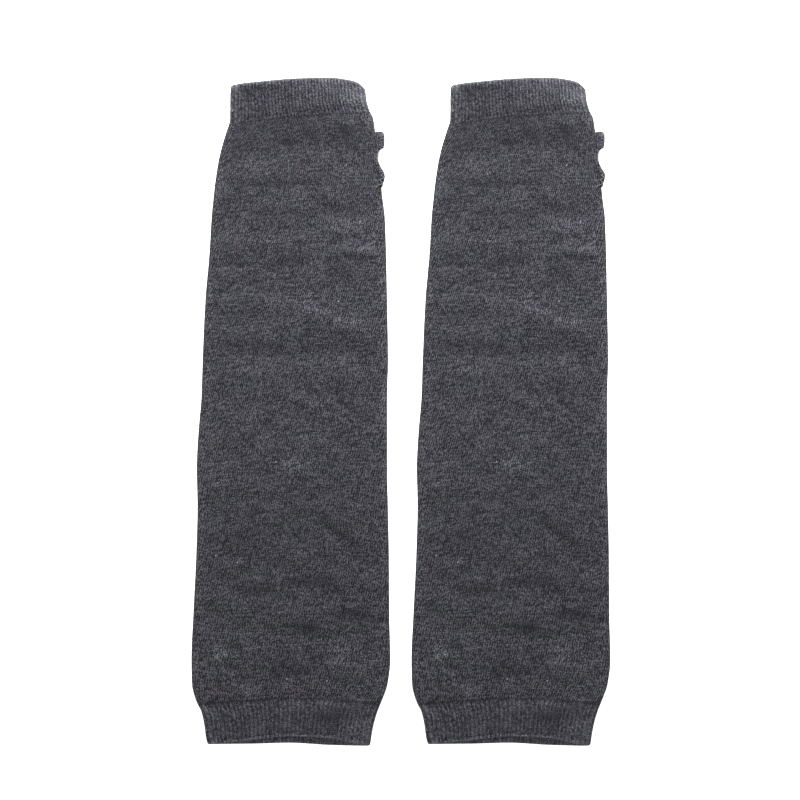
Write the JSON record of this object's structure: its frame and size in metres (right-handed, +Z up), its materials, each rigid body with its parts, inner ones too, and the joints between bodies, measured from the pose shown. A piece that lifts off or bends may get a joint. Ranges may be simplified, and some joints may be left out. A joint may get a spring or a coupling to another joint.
{
  "type": "pair of fingerless arm warmers",
  "caption": "Fine-knit fingerless arm warmers lying flat side by side, each a tapered tube with ribbed ends and a bound thumb opening on one fold.",
  "frame": {"origin": "middle of the pair's footprint, on the surface that the pair lies on", "axes": "+Y runs from the arm ends to the hand ends, +X to the right when the pair is seen from above with the hand ends away from the viewer, +Z up out of the surface"},
  "size_m": [0.2133, 0.34, 0.0055],
  "materials": {
    "jersey": "matt fine jersey in charcoal marl, with faint light and dark course-wise streaks",
    "ribbed_welt": "matt one-by-one rib in charcoal marl",
    "thumb_edging": "matt overlocked edge in charcoal thread"
  },
  "bodies": {
    "root": {"left_tube_front": "jersey", "left_tube_back": "jersey", "left_arm_welt_front": "ribbed_welt", "left_arm_welt_back": "ribbed_welt", "left_hand_welt_front": "ribbed_welt", "left_hand_welt_back": "ribbed_welt", "left_thumb_edging": "thumb_edging", "right_tube_front": "jersey", "right_tube_back": "jersey", "right_arm_welt_front": "ribbed_welt", "right_arm_welt_back": "ribbed_welt", "right_hand_welt_front": "ribbed_welt", "right_hand_welt_back": "ribbed_welt", "right_thumb_edging": "thumb_edging"}
  },
  "joints": []
}
